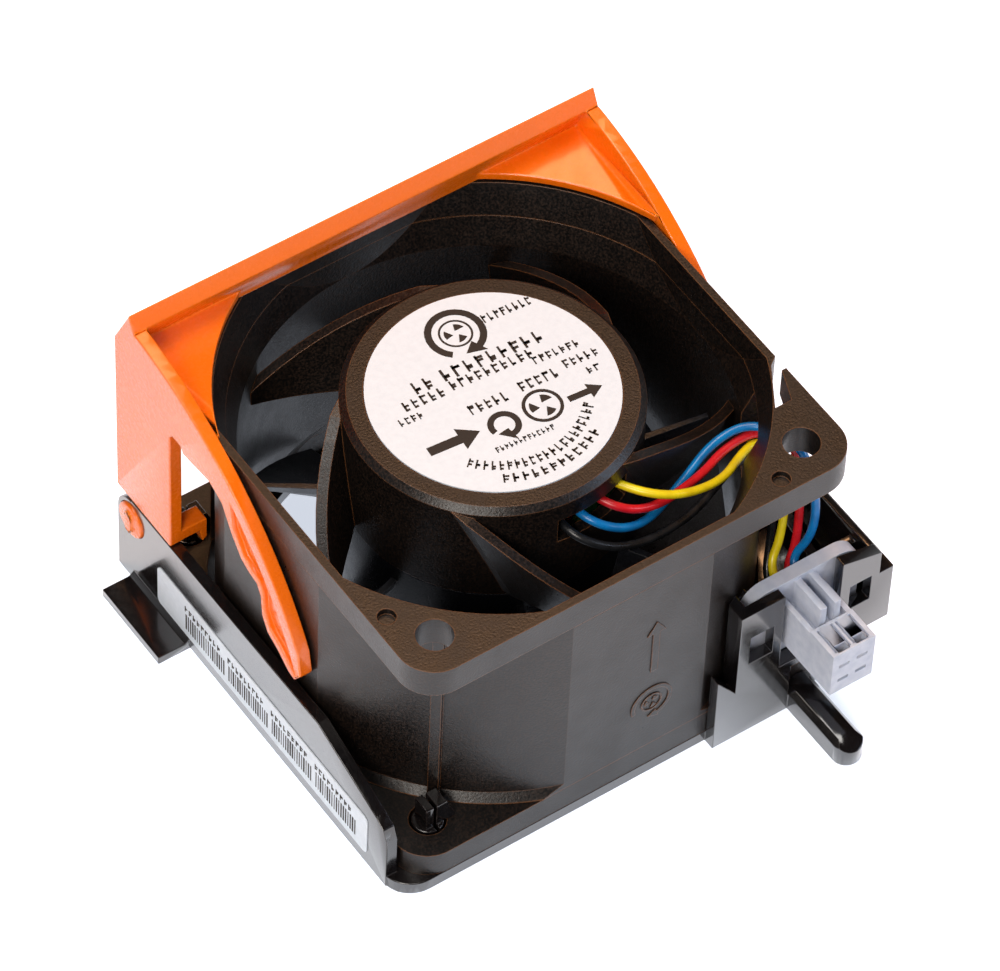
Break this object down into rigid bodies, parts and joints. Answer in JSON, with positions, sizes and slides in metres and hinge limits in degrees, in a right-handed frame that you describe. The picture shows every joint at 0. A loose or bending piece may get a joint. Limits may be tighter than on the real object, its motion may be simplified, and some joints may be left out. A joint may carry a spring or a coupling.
{
  "type": "server fan module",
  "caption": "Square 60 mm axial cooling fan in a black snap-in bracket, with a hinged orange release handle, a side pocket for its lead connector and a guide blade.",
  "frame": {"origin": "on the fan axis, in the plane of the bracket underside", "axes": "+Z along the fan axis towards the label side, +Y towards the handle hinge, +X towards the connector side"},
  "size_m": [0.0728, 0.0724, 0.0477],
  "materials": {
    "frame_plastic": "fine grained black glass-filled plastic",
    "rotor_plastic": "black moulded plastic",
    "bracket_plastic": "glossy black moulded plastic",
    "handle_plastic": "glossy orange moulded plastic",
    "connector_plastic": "light blue-grey moulded nylon",
    "contact_metal": "tin-plated spring sheet",
    "lead_yellow": "smooth wire insulation",
    "lead_red": "smooth wire insulation",
    "lead_black": "smooth wire insulation",
    "lead_blue": "smooth wire insulation",
    "label_film": "white printed film",
    "bearing_steel": "ground steel",
    "core_steel": "steel sheet",
    "magnet_rubber": "bonded magnet strip",
    "tube_brass": "turned brass",
    "insulator_plastic": "natural nylon",
    "winding_copper": "enamelled copper wire",
    "board_laminate": "green laminate",
    "chip_plastic": "moulded package",
    "capacitor_can": "drawn can"
  },
  "bodies": {
    "frame": {"bearing_tube": "tube_brass", "bracket": "bracket_plastic", "bracket_label": "label_film", "capacitor": "capacitor_can", "choke": "chip_plastic", "circuit_board": "board_laminate", "connector": "connector_plastic", "contact_1": "contact_metal", "contact_2": "contact_metal", "contact_3": "contact_metal", "contact_4": "contact_metal", "driver_chip": "chip_plastic", "duct_wall": "frame_plastic", "hall_sensor": "chip_plastic", "inlet_flange": "frame_plastic", "insulator_lower": "insulator_plastic", "insulator_upper": "insulator_plastic", "lead_black": "lead_black", "lead_blue": "lead_blue", "lead_red": "lead_red", "lead_yellow": "lead_yellow", "lower_ball_1": "bearing_steel", "lower_ball_2": "bearing_steel", "lower_ball_3": "bearing_steel", "lower_ball_4": "bearing_steel", "lower_ball_5": "bearing_steel", "lower_ball_6": "bearing_steel", "lower_ball_7": "bearing_steel", "lower_outer_race": "bearing_steel", "lower_shield_a": "bearing_steel", "lower_shield_b": "bearing_steel", "motor_base": "frame_plastic", "motor_label": "label_film", "outlet_flange": "frame_plastic", "stator_core": "core_steel", "upper_ball_1": "bearing_steel", "upper_ball_2": "bearing_steel", "upper_ball_3": "bearing_steel", "upper_ball_4": "bearing_steel", "upper_ball_5": "bearing_steel", "upper_ball_6": "bearing_steel", "upper_ball_7": "bearing_steel", "upper_outer_race": "bearing_steel", "upper_shield_a": "bearing_steel", "upper_shield_b": "bearing_steel", "winding_1": "winding_copper", "winding_2": "winding_copper", "winding_3": "winding_copper", "winding_4": "winding_copper"},
    "rotor": {"impeller": "rotor_plastic", "rotor_yoke": "core_steel", "magnet_ring": "magnet_rubber", "rotor_shaft": "bearing_steel", "shaft_clip": "bearing_steel", "upper_inner_race": "bearing_steel", "lower_inner_race": "bearing_steel", "preload_spring": "bearing_steel"},
    "handle": {"handle": "handle_plastic"}
  },
  "joints": [
    {"name": "rotor_spin", "type": "hinge", "parent": "frame", "child": "rotor", "pos_m": [0, 0, 0], "axis": [0, 0, 1], "continuous": true},
    {"name": "handle_pivot", "type": "hinge", "parent": "frame", "child": "handle", "pos_m": [0, 0.0263, 0.0111], "axis": [-1, 0, 0], "range_deg": [0, 90]}
  ]
}
